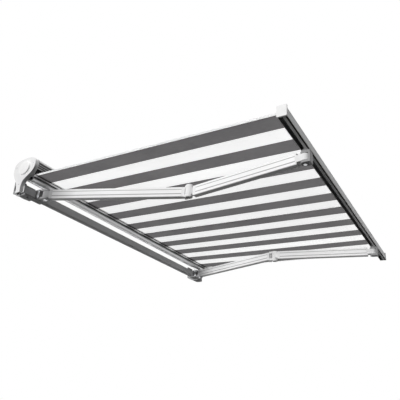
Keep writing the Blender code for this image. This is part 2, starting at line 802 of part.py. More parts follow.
def front_bar_outline():
    throat = bar_top - keder_drop
    centre = tail + bar_skin + keder_radius
    open_angle = asin(keder_throat / 2 / keder_radius)
    slot = arc(centre, throat, keder_radius, pi - open_angle, -pi + open_angle, 12)
    brow = bar_top - brow_height
    edge = nose - bar_skin
    groove = edge - shadow_groove_width
    ceiling = bar_under + shadow_groove_depth
    channel_top = bar_under + channel_depth
    return ([(nose, bar_under + bar_bevel), (nose, brow), (nose - brow_step, brow + bar_bevel),
             (nose - brow_step - bar_bevel, bar_top), (tail, bar_top),
             (tail, throat + keder_throat / 2)] + slot
            + [(tail, throat - keder_throat / 2), (tail, bar_under), (tail + bar_skin, bar_under),
               (tail + bar_skin, channel_top), (channel_front, channel_top),
               (channel_front, bar_under), (groove, bar_under), (groove, ceiling),
               (edge, ceiling), (edge, bar_under + bar_bevel)])


def front_bar_hollow():
    low = bar_under + shadow_groove_depth + bar_skin
    inner = channel_front + bar_skin
    high = bar_top - 2 * keder_drop - keder_radius
    brow = nose - brow_step - bar_skin - bar_bevel
    return [(inner, low), (nose - bar_skin, low),
            (nose - bar_skin, bar_top - brow_height - bar_bevel), (brow, bar_top - bar_skin),
            (inner + bar_bevel, bar_top - bar_skin), (inner, high)]


def shrunk(points, distance):
    """The outline's points drawn towards their middle box by a distance."""
    low_x = min(x for x, _ in points)
    high_x = max(x for x, _ in points)
    low_y = min(y for _, y in points)
    high_y = max(y for _, y in points)
    across = 1 - 2 * distance / (high_x - low_x)
    upward = 1 - 2 * distance / (high_y - low_y)
    mid_across = (low_x + high_x) / 2
    mid_upward = (low_y + high_y) / 2
    return [(mid_across + (x - mid_across) * across, mid_upward + (y - mid_upward) * upward)
            for x, y in points]


def out_up(points):
    """Outline of the front bar turned to face away from the wall."""
    return [(-out, up) for out, up in points]


def front_bar(front):
    """Front bar, caps and arm brackets, in the frame of the left front pivot."""
    middle = (front_half, 0, 0)
    length = width - 2 * cap_thickness
    extrude("front_bar", [out_up(front_bar_outline()), out_up(front_bar_hollow())], length,
            white_paint, front, middle, along_x)
    rim = cap_margin
    cap = rounded(box_outline(tail - rim, bar_under - rim, nose + rim, bar_top + rim), 2 * rim)
    for side in (left, right):
        half = (width - cap_thickness) / 2 + gap / 2
        name = "bar_cap_" + side_name(side)
        body = extrude(name, [out_up(cap)], cap_thickness - gap, plastic, front,
                       (front_half + side * half, 0, 0), along_x)
        plug = shrunk(front_bar_hollow(), cap_play)
        weld(body, [out_up(plug)], cap_plug_length, front,
             (front_half + side * (half - (cap_plug_length - cap_rim_overlap) / 2), 0, 0),
             along_x)


def sealing_strip(name, near, far, depth, front):
    """Black strip that lines a slot in the front bar's underside."""
    low = bar_under + gap
    high = bar_under + depth - gap
    wall = strip_thickness
    outline = [(near, low), (near, high), (far, high), (far, low), (far - wall, low),
               (far - wall, high - wall), (near + wall, high - wall), (near + wall, low)]
    extrude(name, [out_up(outline)], width - 2 * cap_thickness - 2 * gap, dark_plastic, front,
            (front_half, 0, 0), along_x)


def sealing_strips(front):
    sealing_strip("channel_strip", tail + bar_skin + gap, channel_front - gap, channel_depth,
                  front)
    groove = nose - bar_skin - shadow_groove_width
    sealing_strip("groove_strip", groove + gap, nose - bar_skin - gap, shadow_groove_depth,
                  front)


def arm_bracket(side, front):
    """Bracket in the front bar's channel with two ears round the forearm's tongue."""
    x = front_half + side * front_half
    name = "arm_bracket_" + side_name(side)
    half = front_tongue_height / 2 + gap
    thick = bar_under - gap - half
    room = strip_thickness + 2 * gap
    foot = box_outline(channel_front - room, bar_under - foot_drop, tail + bar_skin + room,
                       bar_under + channel_depth - room)
    web_near = front_radius + web_play
    web = box_outline(-front_ear_radius, -web_near - front_web, front_ear_radius, -web_near)
    plan = hull(circle(0, 0, front_ear_radius) + web)
    body = extrude(name, [plan], 2 * (half + thick), grey_cast, front, (x, 0, 0))
    slot = box_outline(-web_near, -half, 2 * front_ear_radius, half)
    tool = extrude(name + "_slot", [slot], 4 * front_ear_radius, parent=front,
                   location=(x, 0, 0), rotation=along_x, cutter=True)
    boolean(body, tool, "DIFFERENCE")
    weld(body, [out_up(foot)], foot_length, front, (x, 0, 0), along_x)
    return x, half, thick


def front_pivots(front):
    for side in (left, right):
        x, half, thick = arm_bracket(side, front)
        bracket = bpy.data.objects["arm_bracket_" + side_name(side)]
        if side == left:
            blind = thick / 2
            drill(bracket, front_pin_radius + gap, 2 * (half + thick), front,
                  (x, 0, blind - thick))
            length = 2 * half + thick + blind - 2 * gap
            bolt("front_pin_left", front_pin_radius, length, 1.7 * front_pin_radius,
                 pin_head_height, steel, front, (x, 0, -half - thick - gap), (pi, 0, 0))


def loose_front_pin(elbow, line_x):
    """Pin of the right front pivot: it stays in the tongue, between the ears."""
    half = front_tongue_height / 2
    turned("front_pin_right", [(0, half), (front_pin_radius, half), (front_pin_radius, -half),
                               (0, -half)], steel, elbow, (line_x, -fore_run, 0))


# Cloth

def cloth():
    """Stretched cloth from the underside of the roll to the front bar's slot."""
    leave = roll_radius + gap + cloth_thickness / 2
    slot_out = arm_reach + tail
    slot_up = bar_top - keder_drop
    fold_y = tilt_y - shoulder_reach * cos(arm_pitch) - shoulder_rise * sin(arm_pitch)
    fold_z = tilt_z - shoulder_reach * sin(arm_pitch) + shoulder_rise * cos(arm_pitch)
    end_y = fold_y - slot_out * cos(arm_pitch) - slot_up * sin(arm_pitch)
    end_z = fold_z - slot_out * sin(arm_pitch) + slot_up * cos(arm_pitch)
    fall = atan2(roller_z - leave - end_z, roller_y - end_y)
    start = (roller_y + leave * sin(fall), roller_z - leave * cos(fall))
    into = bar_skin + keder_radius - hem_rod_radius - gap
    run = Vector((end_y - start[0], end_z - start[1]))
    tip = Vector(start) + run * ((run.length + into) / run.length)
    extrude("awning_cloth", [strip([start, tuple(tip)], cloth_thickness)], 2 * cloth_half,
            cloth_finish, location=(mid_x, 0, 0), rotation=along_x)


def hem_rod(front):
    half = cloth_half
    turned("hem_rod", [(0, half), (hem_rod_radius, half), (hem_rod_radius, -half), (0, -half)],
           plastic, front, (front_half, -(tail + bar_skin + keder_radius),
                            bar_top - keder_drop), turn_x, 16)


torsion_bar()
cable_gland()
hood()
tray()
roller()
for each in (left, right):
    wall_bracket(each)
    side_plate(each)
    bar_plug(each)
    end_cover(each)
    boss(each)
    shoulder_base(each)
left_elbow, left_line = arm(left)
right_elbow, right_line = arm(right)
front_frame = axis("front_axis_left", (left_line, -fore_run, 0), (0, 0, fore_profile_yaw),
                   left_elbow)
front_bar(front_frame)
sealing_strips(front_frame)
front_pivots(front_frame)
loose_front_pin(right_elbow, right_line)
hem_rod(front_frame)
cloth()
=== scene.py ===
from math import atan2, cos, hypot, pi, radians, sin

import bmesh
import bpy
from mathutils import Matrix, Vector


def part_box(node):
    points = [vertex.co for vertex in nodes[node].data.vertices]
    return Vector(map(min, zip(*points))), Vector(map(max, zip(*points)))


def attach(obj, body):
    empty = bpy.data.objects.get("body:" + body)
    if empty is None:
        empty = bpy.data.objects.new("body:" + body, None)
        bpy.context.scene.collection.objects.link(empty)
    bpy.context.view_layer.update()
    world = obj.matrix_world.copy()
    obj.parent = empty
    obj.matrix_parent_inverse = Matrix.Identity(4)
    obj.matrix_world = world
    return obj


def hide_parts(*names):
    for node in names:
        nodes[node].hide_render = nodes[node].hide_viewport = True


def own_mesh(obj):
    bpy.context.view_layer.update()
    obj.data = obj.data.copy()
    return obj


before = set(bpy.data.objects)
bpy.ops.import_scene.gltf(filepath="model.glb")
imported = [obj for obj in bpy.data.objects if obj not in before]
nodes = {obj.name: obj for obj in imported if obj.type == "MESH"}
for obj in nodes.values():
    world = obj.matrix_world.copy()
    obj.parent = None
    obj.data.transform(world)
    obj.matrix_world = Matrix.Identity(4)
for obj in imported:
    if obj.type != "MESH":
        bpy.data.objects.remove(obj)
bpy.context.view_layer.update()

scene = bpy.context.scene

# Places that the solids fix: the frame's middle, the torsion bar, the roller, the end covers
mid_x = 1.1229
bar_z = -0.052
roller_y, roller_z = -0.120, 0.0946
half_width = 1.200
strip_half = 1.166
fit_gap = 0.0003

# Arms: slope, shoulder places, lengths and how far each is swung out
arm_pitch = radians(4.8)
arm_up = Vector((0, -sin(arm_pitch), cos(arm_pitch)))
arm_in = Vector((0, cos(arm_pitch), sin(arm_pitch)))
tilt_pin = Vector((0, -0.140, -0.068))
shoulder_apart = 1.0352
shoulder_reach, shoulder_rise = 0.039, 0.0163
upper_length, fore_length = 1.009, 0.812
upper_yaw, fore_yaw = radians(18.55), radians(8.51)
arm_level = tilt_pin.dot(arm_up) + shoulder_rise

# Canvas: stripes from the left edge, and the doubled cloth of hems and seam
stripe = 0.12
stripe_count = 19
first_stripe = -0.0171
anthracite = (0.128, 0.125, 0.128)
off_white = (0.97, 0.97, 0.97)
# The light let through the cloth is its colour times this gain; a gain above 1 adds painted light
glow_gain = 1.44
cloth_half = 0.0008
hem_lift = 0.0007
hem_width = 0.022

# Painted shade across profiles: (height over the arms' middle, half width, tone), lowest first
band_span = 0.200
# Painted shade in the arms' grooves and along their lower edge
arm_groove_shade = ((-0.0340, 0.0030, 0.70), (-0.0136, 0.0028, 0.46), (0.0170, 0.0022, 0.52))
bar_shade = ((0.0885, 0.0100, 0.60),)
tray_shade = ((0.0745, 0.0095, 0.35),)
# Painted shadow of the cassette on the arms, darker towards the shoulders: (y where it ends, y
# where it is full, tone)
shoulder_shadow = (-0.40, -0.21, 0.42)


# Materials

class Look:
    """A node material: noise-driven colour, roughness and bump on one shader."""

    def __init__(self, name):
        self.material = bpy.data.materials.new(name)
        self.material.use_nodes = True
        self.tree = self.material.node_tree
        self.shader = self.tree.nodes["Principled BSDF"]
        self.out = self.tree.nodes["Material Output"]
        self.place = self.add("ShaderNodeTexCoord").outputs["Object"]

    def add(self, kind, **values):
        node = self.tree.nodes.new(kind)
        for key, value in values.items():
            setattr(node, key, value)
        return node

    def link(self, a, b):
        self.tree.links.new(a, b)

    def noise(self, scale, detail=3.0, stretch=None):
        node = self.add("ShaderNodeTexNoise")
        node.inputs["Scale"].default_value = scale
        node.inputs["Detail"].default_value = detail
        node.inputs["Roughness"].default_value = 0.55
        source = self.place
        if stretch:
            mapping = self.add("ShaderNodeMapping")
            mapping.inputs["Scale"].default_value = stretch
            self.link(self.place, mapping.inputs["Vector"])
            source = mapping.outputs["Vector"]
        self.link(source, node.inputs["Vector"])
        return node.outputs["Fac"]

    def ramp(self, source, stops):
        node = self.add("ShaderNodeValToRGB")
        ramp = node.color_ramp
        while len(ramp.elements) < len(stops):
            ramp.elements.new(0.5)
        for element, (where, value) in zip(ramp.elements, stops):
            element.position = where
            element.color = (*value, 1) if hasattr(value, "__len__") else (value, value, value, 1)
        self.link(source, node.inputs["Fac"])
        return node.outputs["Color"]

    def math(self, operation, a, b=None, clamp=False):
        node = self.add("ShaderNodeMath", operation=operation, use_clamp=clamp)
        for socket, value in zip(node.inputs, (a, b)):
            if value is None:
                continue
            if isinstance(value, (int, float)):
                socket.default_value = value
            else:
                self.link(value, socket)
        return node.outputs[0]

    def mix(self, factor, a, b, blend="MIX"):
        node = self.add("ShaderNodeMix", data_type="RGBA", blend_type=blend)
        for socket, value in ((node.inputs[0], factor), (node.inputs[6], a), (node.inputs[7], b)):
            if isinstance(value, tuple):
                socket.default_value = (*value, 1)
            elif isinstance(value, (int, float)):
                socket.default_value = value
            else:
                self.link(value, socket)
        return node.outputs[2]

    def bump(self, height, strength, distance):
        node = self.add("ShaderNodeBump")
        node.inputs["Strength"].default_value = strength
        node.inputs["Distance"].default_value = distance
        self.link(height, node.inputs["Height"])
        self.link(node.outputs["Normal"], self.shader.inputs["Normal"])
        return node.outputs["Normal"]


def coated(name, colour, dust, rough, peel_scale, peel, streak=(1, 1, 1), shade_bands=(), near_wall_shade=None):
    """Powder coat: faint dust in long streaks, orange peel in the gloss.

    The bands are painted shade across the profile, such as in its grooves and along its lower
    edge. The last argument is painted shadow near the shoulders: (y where it ends, y where it is
    full, tone).
    """
    look = Look(name)
    haze = look.noise(5.0, 5.0, streak)
    tint = look.ramp(haze, [(0.30, dust), (0.62, colour)])
    # Bands of painted shade across the profile
    if shade_bands:
        dot = look.add("ShaderNodeVectorMath", operation="DOT_PRODUCT")
        look.link(look.place, dot.inputs[0])
        dot.inputs[1].default_value = arm_up
        level = look.math("SUBTRACT", dot.outputs["Value"], arm_level)
        share = look.math("ADD", look.math("DIVIDE", level, band_span), 0.5)
        stops = [(0.0, 1.0)]
        for middle, half, tone in shade_bands:
            centre, edge = middle / band_span + 0.5, half / band_span
            stops += [(centre - edge * 1.5, 1.0), (centre - edge * 0.7, tone),
                      (centre + edge * 0.7, tone), (centre + edge * 1.5, 1.0)]
        tint = look.mix(1.0, tint, look.ramp(share, stops), "MULTIPLY")
    # Painted shadow: darker towards the shoulders
    if near_wall_shade:
        split = look.add("ShaderNodeSeparateXYZ")
        look.link(look.place, split.inputs[0])
        shade_starts, full, tone = near_wall_shade
        share = look.math("DIVIDE", look.math("SUBTRACT", split.outputs["Y"], shade_starts),
                          full - shade_starts, clamp=True)
        tint = look.mix(1.0, tint, look.ramp(share, [(0.0, 1.0), (1.0, tone)]), "MULTIPLY")
    look.link(tint, look.shader.inputs["Base Color"])
    gloss = look.noise(38.0, 2.0)
    look.link(look.ramp(gloss, [(0.3, rough - 0.06), (0.7, rough + 0.08)]),
              look.shader.inputs["Roughness"])
    look.bump(look.noise(peel_scale, 2.0), 0.12, peel)
    look.shader.inputs["Specular IOR Level"].default_value = 0.15
    return look.material


def metal(name, colour, dark, rough, stretch):
    look = Look(name)
    grain = look.noise(160.0, 3.0, stretch)
    look.link(look.ramp(grain, [(0.25, dark), (0.75, colour)]), look.shader.inputs["Base Color"])
    look.link(look.ramp(look.noise(60.0), [(0.3, rough - 0.08), (0.7, rough + 0.12)]),
              look.shader.inputs["Roughness"])
    look.bump(grain, 0.15, 0.0002)
    look.shader.inputs["Metallic"].default_value = 1.0
    return look.material


def moulded(name, colour, low, rough):
    look = Look(name)
    cloud = look.noise(24.0, 4.0)
    look.link(look.ramp(cloud, [(0.3, low), (0.7, colour)]), look.shader.inputs["Base Color"])
    look.link(look.ramp(look.noise(90.0), [(0.3, rough - 0.05), (0.7, rough + 0.08)]),
              look.shader.inputs["Roughness"])
    look.bump(look.noise(900.0, 1.0), 0.18, 0.0002)
    return look.material


def stripes(look, dark, pale):
    """Stripe colours across X, with slubs along the yarn and a faint cloud of dust."""
    split = look.add("ShaderNodeSeparateXYZ")
    look.link(look.place, split.inputs[0])
    count = look.math("DIVIDE", look.math("SUBTRACT", split.outputs["X"], first_stripe), stripe)
    pair = look.math("MULTIPLY", count, 0.5)
    phase = look.math("FRACT", look.math("ADD", pair, 10.0))
    inside = look.math("LESS_THAN", phase, 0.5)
    left = look.math("GREATER_THAN", count, 0.0)
    right = look.math("LESS_THAN", count, float(stripe_count))
    band = look.math("MULTIPLY", look.math("MULTIPLY", inside, left), right)
    slub = look.noise(260.0, 3.0, (1.0, 0.06, 1.0))
    cloud = look.noise(3.0, 4.0)
    dark_yarn = look.mix(look.ramp(slub, [(0.3, 0.0), (0.7, 1.0)]),
                         tuple(c * 0.93 for c in dark), tuple(c * 1.07 for c in dark))
    pale_yarn = look.mix(look.ramp(slub, [(0.3, 0.0), (0.7, 1.0)]),
                         tuple(c * 0.975 for c in pale), pale)
    colour = look.mix(band, pale_yarn, dark_yarn)
    return look.mix(look.ramp(cloud, [(0.35, 0.05), (0.6, 0.0)]), colour, (0.55, 0.54, 0.52))


def weave(look):
    """Plain weave as a height: one bump for every two threads of 0.7 mm."""
    heights = []
    for axis in ("X", "Y"):
        wave = look.add("ShaderNodeTexWave", wave_type="BANDS", bands_direction=axis)
        wave.inputs["Scale"].default_value = 220.0
        wave.inputs["Distortion"].default_value = 0.6
        wave.inputs["Detail"].default_value = 1.0
        wave.inputs["Detail Scale"].default_value = 4.0
        look.link(look.place, wave.inputs["Vector"])
        heights.append(wave.outputs["Fac"])
    return look.math("MULTIPLY", heights[0], heights[1])


def canvas_look(name, pale, through):
    """Striped cloth that shines with the light behind it; through is that light's share."""
    look = Look(name)
    colour = stripes(look, anthracite, pale)
    look.link(colour, look.shader.inputs["Base Color"])
    look.link(look.ramp(look.noise(30.0), [(0.3, 0.82), (0.7, 0.95)]),
              look.shader.inputs["Roughness"])
    look.shader.inputs["Specular IOR Level"].default_value = 0.15
    look.shader.inputs["Sheen Weight"].default_value = 0.08
    normal = look.bump(weave(look), 0.25, 0.0003)
    glow = look.add("ShaderNodeBsdfTranslucent")
    # Colour of the light let through, raised by the gain: partly real translucency, partly
    # painted light
    look.link(look.mix(1.0, colour, (glow_gain,) * 3, "MULTIPLY"), glow.inputs["Color"])
    look.link(normal, glow.inputs["Normal"])
    both = look.add("ShaderNodeMixShader")
    both.inputs["Fac"].default_value = through
    look.link(look.shader.outputs[0], both.inputs[1])
    look.link(glow.outputs[0], both.inputs[2])
    look.link(both.outputs[0], look.out.inputs["Surface"])
    return look.material


paint = coated("powder_coat", (0.80, 0.80, 0.805), (0.745, 0.745, 0.74), 0.42, 700.0, 0.0002,
               (0.15, 1.0, 1.0))
# The arms' coat, with painted shade in its grooves and painted shadow near the shoulders
arm_paint = coated("arm_coat", (0.85, 0.85, 0.855), (0.80, 0.80, 0.795), 0.34, 700.0, 0.0002,
                   (1.0, 0.2, 1.0), arm_groove_shade, shoulder_shadow)
bar_paint = coated("bar_coat", (0.80, 0.80, 0.805), (0.745, 0.745, 0.74), 0.42, 700.0, 0.0002,
                   (0.15, 1.0, 1.0), bar_shade)
# Grey cast drawn at 0.33, darker than its own grey of 0.40, with the white wall brackets drawn in
# it too: painted shade
grey_cast = coated("grey_cast", (0.33, 0.33, 0.335), (0.26, 0.26, 0.26), 0.46, 320.0, 0.0005)
# The torsion bar's white coat drawn grey, 0.57 for the white parts' 0.80: painted shade
shaded_white_coat = coated("shaded_white_coat", (0.57, 0.57, 0.575), (0.51, 0.51, 0.51), 0.44, 700.0, 0.0002,
                   (0.15, 1.0, 1.0))
cast = coated("cast_coat", (0.77, 0.77, 0.775), (0.69, 0.69, 0.685), 0.50, 320.0, 0.0005)
white_plastic = moulded("white_plastic", (0.84, 0.84, 0.84), (0.79, 0.79, 0.785), 0.42)
dark_plastic = moulded("dark_plastic", (0.035, 0.035, 0.037), (0.022, 0.022, 0.023), 0.5)
# Dark grey of the strips on the hood's front: painted shade
painted_shade_slate = moulded("painted_shade_slate", (0.16, 0.16, 0.165), (0.12, 0.12, 0.12), 0.5)
black_rubber = moulded("black_rubber", (0.012, 0.012, 0.012), (0.008, 0.008, 0.008), 0.75)
silver = coated("silver_coat", (0.82, 0.82, 0.825), (0.77, 0.77, 0.77), 0.34, 700.0, 0.00002,
                (0.15, 1.0, 1.0), tray_shade)
silver.node_tree.nodes["Principled BSDF"].inputs["Metallic"].default_value = 0.5
black_steel = metal("black_steel", (0.10, 0.10, 0.10), (0.05, 0.05, 0.05), 0.42, (1, 1, 1))
zinc = metal("zinc", (0.62, 0.63, 0.64), (0.44, 0.45, 0.46), 0.36, (1, 1, 1))
tube_metal = metal("roller_steel", (0.58, 0.59, 0.60), (0.46, 0.47, 0.48), 0.40, (0.05, 1, 1))
canvas = canvas_look("striped_canvas", off_white, 0.55)
rolled = canvas_look("rolled_canvas", (0.92, 0.92, 0.915), 0.10)
thread_look = moulded("thread", (0.78, 0.78, 0.77), (0.62, 0.62, 0.61), 0.7)

groups = {
    paint: ("end_cover", "hood"),
    shaded_white_coat: ("torsion_bar",),
    bar_paint: ("front_bar",),
    silver: ("tray",),
    arm_paint: ("upper_arm", "forearm"),
    cast: ("side_plate", "elbow_fork", "elbow_knuckle", "front_knuckle"),
    grey_cast: ("wall_bracket", "shoulder_base", "shoulder_fork", "shoulder_knuckle",
                "arm_bracket"),
    white_plastic: ("cover_boss", "bar_cap", "bar_plug", "hem_rod", "idler_bush"),
    dark_plastic: ("tubular_motor", "drive_wheel", "motor_crown", "idler_plug", "cable_gland"),
    black_rubber: ("channel_strip", "groove_strip"),
    zinc: ("clamp_bolt", "tilt_pin", "lock_bolt", "shoulder_pin", "elbow_pin", "front_pin",
           "arm_spring"),
    tube_metal: ("roller_tube",),
    rolled: ("cloth_roll", "awning_cloth"),
}
for material, names in groups.items():
    for name, node in nodes.items():
        if name.startswith(names):
            for slot in node.material_slots:
                slot.material = material


# Meshes

def piece(name, mesh, material, body, smooth=True):
    """Object of the scene's own that rides on a body and fills one of its material slots."""
    obj = bpy.data.objects.new(name, mesh)
    scene.collection.objects.link(obj)
    mesh.materials.append(material)
    if smooth:
        for polygon in mesh.polygons:
            polygon.use_smooth = True
        mesh.set_sharp_from_angle(angle=radians(35))
    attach(obj, body)
    return obj


def lathe(profile, steps):
    """Mesh of a (radius, height) profile turned round Z."""
    made = bmesh.new()
    rings = []
    for radius, height in profile:
        if radius == 0:
            rings.append([made.verts.new((0, 0, height))])
            continue
        rings.append([made.verts.new((radius * cos(2 * pi * i / steps),
                                      radius * sin(2 * pi * i / steps), height))
                      for i in range(steps)])
    for a, b in zip(rings, rings[1:]):
        for i in range(steps):
            j = (i + 1) % steps
            corners = [a[i % len(a)], a[j % len(a)], b[j % len(b)], b[i % len(b)]]
            corners = list(dict.fromkeys(corners))
            if len(corners) > 2:
                made.faces.new(corners)
    bmesh.ops.recalc_face_normals(made, faces=made.faces)
    return made


def frame_at(point, axis, turn=0.0):
    """Matrix that lays a lathed mesh's Z on an axis at a point."""
    spin = Vector(axis).to_track_quat("Z", "Y").to_matrix().to_4x4()
    return Matrix.Translation(Vector(point)) @ spin @ Matrix.Rotation(turn, 4, "Z")


def gather(parts):
    """One mesh of several (bmesh, matrix) parts."""
    whole = bmesh.new()
    for made, matrix in parts:
        scratch = bpy.data.meshes.new("scratch")
        copy = made.copy()
        copy.transform(matrix)
        copy.to_mesh(scratch)
        copy.free()
        whole.from_mesh(scratch)
        bpy.data.meshes.remove(scratch)
    mesh = bpy.data.meshes.new("piece")
    whole.to_mesh(mesh)
    whole.free()
    return mesh


def socket_head(radius, height):
    """Cap screw head with a hexagon socket and rounded edge, seat at 0."""
    key = radius * 0.52
    made = lathe([(radius, 0), (radius, height * 0.72), (radius * 0.94, height * 0.92),
                  (radius * 0.84, height), (key * 1.12, height)], 36)
    top = [v for v in made.verts if abs(v.co.z - height) < 1e-7
           and abs(hypot(v.co.x, v.co.y) - key * 1.12) < 1e-6]
    top.sort(key=lambda v: atan2(v.co.y, v.co.x))
    upper = [made.verts.new((key * cos(pi / 3 * i), key * sin(pi / 3 * i), height))
             for i in range(6)]
    lower = [made.verts.new((v.co.x, v.co.y, height * 0.35)) for v in upper]
    count = len(top)
    start = min(range(count), key=lambda i: (top[i].co.xy - upper[0].co.xy).length)
    for i in range(count):
        a, b = top[(start + i) % count], top[(start + i + 1) % count]
        sector = (i * 6) // count
        made.faces.new([a, b, upper[sector]])
        if ((i + 1) * 6) // count != sector:
            made.faces.new([b, upper[(sector + 1) % 6], upper[sector]])
    for i in range(6):
        j = (i + 1) % 6
        made.faces.new([upper[i], upper[j], lower[j], lower[i]])
    made.faces.new(lower)
    made.faces.new(sorted((v for v in made.verts if v.co.z == 0),
                          key=lambda v: atan2(v.co.y, v.co.x)))
    bmesh.ops.recalc_face_normals(made, faces=made.faces)
    return made


def hex_head(radius, height):
    """Hexagon head on a washer, seat at 0."""
    made = lathe([(0, 0), (radius * 1.35, 0), (radius * 1.35, height * 0.2),
                  (radius * 1.28, height * 0.24), (0, height * 0.24)], 32)
    rows = []
    for level, size in ((0.24, 1.0), (0.86, 1.0), (1.0, 0.86)):
        rows.append([made.verts.new((radius * size * cos(pi / 3 * i),
                                     radius * size * sin(pi / 3 * i), height * level))
                     for i in range(6)])
    for a, b in zip(rows, rows[1:]):
        for i in range(6):
            j = (i + 1) % 6
            made.faces.new([a[i], a[j], b[j], b[i]])
    made.faces.new(rows[-1])
    made.faces.new(rows[0][::-1])
    bmesh.ops.recalc_face_normals(made, faces=made.faces)
    return made


# Canvas

cloth_lo, cloth_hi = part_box("awning_cloth")
roll_solid, roll_core = 0.0411, 0.0394
roll_out = roll_solid + fit_gap + cloth_half
cloth_tip = Vector((0, cloth_lo.y, cloth_lo.z + cloth_half))
fall = atan2(roller_z - roll_out - cloth_tip.z, roller_y - cloth_tip.y)
cloth_start = Vector((0, roller_y + roll_out * sin(fall), roller_z - roll_out * cos(fall)))
cloth_run = cloth_tip - cloth_start
cloth_up = Vector((0, -cloth_run.z, cloth_run.y)).normalized()
if cloth_up.z < 0:
    cloth_up.negate()
ripple_height, ripple_turn = 0.0006, 52.0
pressed_share = 0.075


def cloth_point(x, share, lift):
    """Point of the taut canvas at x, share of the way from the roller to the front bar."""
    ripple = ripple_height * sin(x * ripple_turn) * sin(pi * share) ** 2
    point = cloth_start + cloth_run * share + cloth_up * (lift + ripple)
    return Vector((x, point.y, point.z))


def sheet_mesh(xs, shares, lift):
    """One layer of canvas, so that light passes through it once.

    Its lift over the first layer is pressed out near the roller, where the turns leave no room.
    """
    made = bmesh.new()
    rows = []
    for share in shares:
        height = lift * min(1.0, (share / pressed_share) ** 2)
        rows.append([made.verts.new(cloth_point(x, share, height)) for x in xs])
    for near, far in zip(rows, rows[1:]):
        for i in range(len(xs) - 1):
            made.faces.new([near[i], near[i + 1], far[i + 1], far[i]])
    return made


def spread(low, high, count):
    """Ends and even steps of a range."""
    return [low + (high - low) * i / count for i in range(count + 1)]


def as_mesh(made):
    """Mesh of a bmesh, which is freed."""
    mesh = bpy.data.meshes.new("piece")
    made.to_mesh(mesh)
    made.free()
    return mesh


edge_play = 0.0002
left_edge, right_edge = cloth_lo.x + edge_play, cloth_hi.x - edge_play
thin = 0.0006
sheet = piece("canvas", as_mesh(sheet_mesh(spread(left_edge, right_edge, 96),
                                           spread(0.0, 1.0, 48), 0.0)),
              canvas, "pitch_left")
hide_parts("awning_cloth")

# Double cloth of the side hems and of the seam between the two widths
seam_x = first_stripe + 10 * stripe
hem_from, hem_to = 0.036, 0.988
hem_parts = []
for low, high in ((left_edge, left_edge + hem_width), (right_edge - hem_width, right_edge),
                  (seam_x - hem_width / 2, seam_x + hem_width / 2)):
    hem_parts.append((sheet_mesh(spread(low, high, 3), spread(hem_from, hem_to, 48), hem_lift),
                      Matrix()))
hems = piece("canvas_hems", gather(hem_parts), canvas, "pitch_left")

# Lockstitch rows: each stitch is a short thread that dips at both ends
stitch_pitch = 0.0042
stitch_ends = (0.12, 0.88)
stitch_crown = 0.00030
thread_half, thread_rise = 0.00028, 0.00018
thread_clear = 0.00012
stitches_to = 0.989


def stitch_row(made, x, side):
    """Row at x on the upper (side 1) or lower (side -1) face, added to made.

    The upper row starts clear of the roller's turns.
    """
    length = cloth_run.length
    first = 0.09 if side > 0 else 0.004
    count = int(length * (stitches_to - first) / stitch_pitch)
    across = Vector((thread_half, 0, 0))
    lift = side * (thin / 2 + thread_clear) + (hem_lift if side > 0 else 0.0)
    for i in range(count):
        a, b = ((i + end) * stitch_pitch / length + first for end in stitch_ends)
        rows = []
        for share, height in ((a, 0.0), ((a + b) / 2, stitch_crown), (b, 0.0)):
            centre = cloth_point(x, share, lift)
            top = cloth_up * side * (height + thread_rise)
            rows.append([made.verts.new(centre - across),
                         made.verts.new(centre + top),
                         made.verts.new(centre + across)])
        for p, q in zip(rows, rows[1:]):
            made.faces.new([p[0], p[1], q[1], q[0]])
            made.faces.new([p[1], p[2], q[2], q[1]])
            made.faces.new([p[2], p[0], q[0], q[2]])
        made.faces.new(rows[0])
        made.faces.new(rows[-1][::-1])


threads = bmesh.new()
outer_row, inner_row, seam_row = 0.004, 0.018, 0.008
for row_x in (left_edge + outer_row, left_edge + inner_row,
              right_edge - outer_row, right_edge - inner_row,
              seam_x - seam_row, seam_x + seam_row):
    stitch_row(threads, row_x, -1)
    stitch_row(threads, row_x, 1)
bmesh.ops.recalc_face_normals(threads, faces=threads.faces)
stitches = piece("canvas_stitches", as_mesh(threads), thread_look, "pitch_left",
                 smooth=False)

for part in (sheet, hems, stitches):
    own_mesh(part)

# The turns left on the roller
wound = 2.2
steps = int(wound * 56)
turns = bmesh.new()
spiral = []
for i in range(steps + 1):
    angle = -pi / 2 + fall + 2 * pi * wound * i / steps
    radius = roll_out - (roll_out - roll_core - thin) * i / steps
    spiral.append((angle, radius))
roll_xs = spread(left_edge, right_edge, 24)
grid = []
for offset in (-thin / 2, thin / 2):
    for angle, radius in spiral:
        grid.append([turns.verts.new((x, roller_y + (radius + offset) * cos(angle),
                                      roller_z + (radius + offset) * sin(angle)))
                     for x in roll_xs])
rows_each = len(spiral)
for block, flip in ((0, False), (rows_each, True)):
    for j in range(rows_each - 1):
        for i in range(len(roll_xs) - 1):
            quad = [grid[block + j][i], grid[block + j + 1][i], grid[block + j + 1][i + 1],
                    grid[block + j][i + 1]]
            turns.faces.new(quad[::-1] if flip else quad)
for j in range(rows_each - 1):
    for i in (0, len(roll_xs) - 1):
        turns.faces.new([grid[j][i], grid[j + 1][i], grid[rows_each + j + 1][i],
                         grid[rows_each + j][i]])
for j in (0, rows_each - 1):
    for i in range(len(roll_xs) - 1):
        turns.faces.new([grid[j][i], grid[j][i + 1], grid[rows_each + j][i + 1],
                         grid[rows_each + j][i]])
bmesh.ops.recalc_face_normals(turns, faces=turns.faces)
roll = piece("canvas_turns", as_mesh(turns), rolled, "roller")
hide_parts("cloth_roll")


# Cassette details

dome_crown = 0.0016
dome_dip = 0.0009


